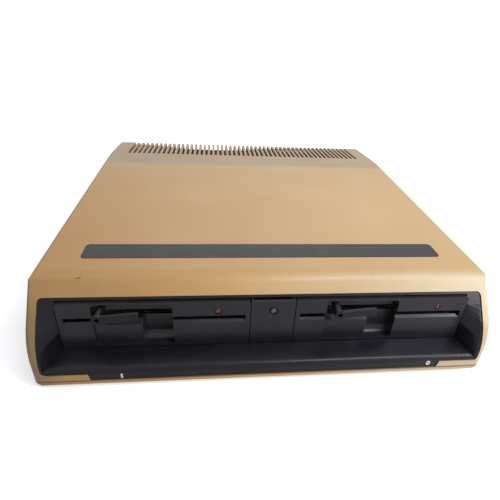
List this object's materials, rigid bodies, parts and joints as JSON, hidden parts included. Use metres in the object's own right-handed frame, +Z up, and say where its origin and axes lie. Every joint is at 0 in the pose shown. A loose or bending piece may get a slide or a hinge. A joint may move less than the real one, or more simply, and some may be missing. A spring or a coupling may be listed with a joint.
{
  "type": "dual floppy drive",
  "caption": "Low desktop disk unit with two side-by-side slot drives, turning latch levers, a raked front and rear vents.",
  "frame": {"origin": "on the surface under the feet, below the middle of the case", "axes": "+X to the right seen from the front, +Y to the rear, +Z up"},
  "size_m": [0.368, 0.406, 0.0849],
  "materials": {
    "top_cover": "fine moulded texture, yellowed",
    "base_pan": "fine moulded texture, yellowed",
    "front_surround": "satin moulded",
    "centre_panel": "satin moulded",
    "mains_inlet": "moulded",
    "fuse_holder": "moulded",
    "fuse_cap": "moulded",
    "power_switch": "moulded",
    "switch_rocker": "moulded",
    "bezel": "satin moulded",
    "lever": "satin moulded",
    "clamp_cone": "moulded",
    "head_carriage": "moulded",
    "head_arm": "moulded",
    "board_chips": "moulded",
    "drive_ribbons": "ribbed cable",
    "chassis": "as cast",
    "heat_sink": "extruded",
    "smoothing_capacitors": "sleeved can",
    "rear_panel": "plated sheet",
    "data_connector": "plated shell",
    "transformer": "varnished core",
    "drive_brackets": "plated sheet",
    "case_screws": "plated",
    "inner_screws": "plated",
    "lever_shaft": "ground",
    "shaft_bridge": "plated sheet",
    "clamp_arm": "plated sheet",
    "spindle": "turned",
    "spindle_bearings": "ground",
    "guide_rails": "ground",
    "stepper_motor": "plated can",
    "capstan": "ground",
    "drive_band": "rolled strip",
    "name_plate": "satin foil",
    "power_lamp": "clear lens",
    "activity_lamp": "tinted lens",
    "main_board": "solder mask",
    "motor_board": "solder mask",
    "logic_board": "solder mask",
    "mains_fuse": "glass tube",
    "rubber_feet": "moulded rubber"
  },
  "bodies": {
    "case": {"top_cover": "top_cover", "base_pan": "base_pan", "front_surround": "front_surround", "name_plate": "name_plate", "centre_panel": "centre_panel", "power_lamp": "power_lamp", "rear_panel": "rear_panel", "mains_inlet": "mains_inlet", "fuse_holder": "fuse_holder", "mains_fuse": "mains_fuse", "power_switch": "power_switch", "data_connector": "data_connector", "main_board": "main_board", "board_chips": "board_chips", "smoothing_capacitors": "smoothing_capacitors", "heat_sink": "heat_sink", "transformer": "transformer", "drive_brackets": "drive_brackets", "drive_ribbons": "drive_ribbons", "rubber_feet": "rubber_feet", "case_screws": "case_screws", "inner_screws": "inner_screws", "left_bezel": "bezel", "left_chassis": "chassis", "left_shaft_bridge": "shaft_bridge", "left_spindle_bearings": "spindle_bearings", "left_motor_board": "motor_board", "left_guide_rails": "guide_rails", "left_stepper_motor": "stepper_motor", "left_logic_board": "logic_board", "left_activity_lamp": "activity_lamp", "right_bezel": "bezel", "right_chassis": "chassis", "right_shaft_bridge": "shaft_bridge", "right_spindle_bearings": "spindle_bearings", "right_motor_board": "motor_board", "right_guide_rails": "guide_rails", "right_stepper_motor": "stepper_motor", "right_logic_board": "logic_board", "right_activity_lamp": "activity_lamp"},
    "fuse_cap": {"fuse_cap": "fuse_cap"},
    "switch_rocker": {"switch_rocker": "switch_rocker"},
    "left_lever": {"left_lever": "lever", "left_lever_shaft": "lever_shaft"},
    "left_clamp": {"left_clamp_arm": "clamp_arm"},
    "left_cone": {"left_clamp_cone": "clamp_cone"},
    "left_spindle": {"left_spindle": "spindle"},
    "left_carriage": {"left_head_carriage": "head_carriage", "left_drive_band": "drive_band"},
    "left_head_arm": {"left_head_arm": "head_arm"},
    "left_capstan": {"left_capstan": "capstan"},
    "right_lever": {"right_lever": "lever", "right_lever_shaft": "lever_shaft"},
    "right_clamp": {"right_clamp_arm": "clamp_arm"},
    "right_cone": {"right_clamp_cone": "clamp_cone"},
    "right_spindle": {"right_spindle": "spindle"},
    "right_carriage": {"right_head_carriage": "head_carriage", "right_drive_band": "drive_band"},
    "right_head_arm": {"right_head_arm": "head_arm"},
    "right_capstan": {"right_capstan": "capstan"}
  },
  "joints": [
    {"name": "left_lever_turn", "type": "hinge", "parent": "case", "child": "left_lever", "pos_m": [-0.1313, -0.183, 0.063], "axis": [0, 1, 0], "range_deg": [0, 90]},
    {"name": "left_clamp_hinge", "type": "hinge", "parent": "case", "child": "left_clamp", "pos_m": [-0.091, -0.035, 0.05445], "axis": [1, 0, 0], "range_deg": [0, 5.71]},
    {"name": "left_cone_spin", "type": "hinge", "parent": "left_clamp", "child": "left_cone", "pos_m": [-0.091, -0.10504, 0.05758], "axis": [0, 0.0995, 0.995], "continuous": true},
    {"name": "left_spindle_spin", "type": "hinge", "parent": "case", "child": "left_spindle", "pos_m": [-0.091, -0.105, 0.0506], "axis": [0, 0, 1], "continuous": true},
    {"name": "left_head_slide", "type": "slide", "parent": "case", "child": "left_carriage", "axis": [0, -1, 0], "range_m": [0, 0.0193]},
    {"name": "left_head_arm_hinge", "type": "hinge", "parent": "left_carriage", "child": "left_head_arm", "pos_m": [-0.091, -0.0177, 0.0582], "axis": [1, 0, 0], "range_deg": [0, 7]},
    {"name": "left_capstan_turn", "type": "hinge", "parent": "case", "child": "left_capstan", "pos_m": [-0.091, -0.021, 0.0414], "axis": [1, 0, 0], "range_deg": [0, 137]},
    {"name": "right_lever_turn", "type": "hinge", "parent": "case", "child": "right_lever", "pos_m": [0.0507, -0.183, 0.063], "axis": [0, 1, 0], "range_deg": [0, 90]},
    {"name": "right_clamp_hinge", "type": "hinge", "parent": "case", "child": "right_clamp", "pos_m": [0.091, -0.035, 0.05445], "axis": [1, 0, 0], "range_deg": [0, 5.71]},
    {"name": "right_cone_spin", "type": "hinge", "parent": "right_clamp", "child": "right_cone", "pos_m": [0.091, -0.10504, 0.05758], "axis": [0, 0.0995, 0.995], "continuous": true},
    {"name": "right_spindle_spin", "type": "hinge", "parent": "case", "child": "right_spindle", "pos_m": [0.091, -0.105, 0.0506], "axis": [0, 0, 1], "continuous": true},
    {"name": "right_head_slide", "type": "slide", "parent": "case", "child": "right_carriage", "axis": [0, -1, 0], "range_m": [0, 0.0193]},
    {"name": "right_head_arm_hinge", "type": "hinge", "parent": "right_carriage", "child": "right_head_arm", "pos_m": [0.091, -0.0177, 0.0582], "axis": [1, 0, 0], "range_deg": [0, 7]},
    {"name": "right_capstan_turn", "type": "hinge", "parent": "case", "child": "right_capstan", "pos_m": [0.091, -0.021, 0.0414], "axis": [1, 0, 0], "range_deg": [0, 137]},
    {"name": "switch_rock", "type": "hinge", "parent": "case", "child": "switch_rocker", "pos_m": [-0.05, 0.1882, 0.0345], "axis": [1, 0, 0], "range_deg": [0, 16]},
    {"name": "fuse_cap_turn", "type": "hinge", "parent": "case", "child": "fuse_cap", "pos_m": [-0.088, 0.1902, 0.0345], "axis": [0, -1, 0], "range_deg": [0, 90]}
  ],
  "couplings": [
    {"joint": "left_clamp_hinge", "follows": "left_lever_turn", "ratio": 0.063445},
    {"joint": "left_head_arm_hinge", "follows": "left_lever_turn", "ratio": 0.07777},
    {"joint": "left_capstan_turn", "follows": "left_head_slide", "rad_per_m": 123.69},
    {"joint": "right_clamp_hinge", "follows": "right_lever_turn", "ratio": 0.063445},
    {"joint": "right_head_arm_hinge", "follows": "right_lever_turn", "ratio": 0.07777},
    {"joint": "right_capstan_turn", "follows": "right_head_slide", "rad_per_m": 123.69}
  ]
}
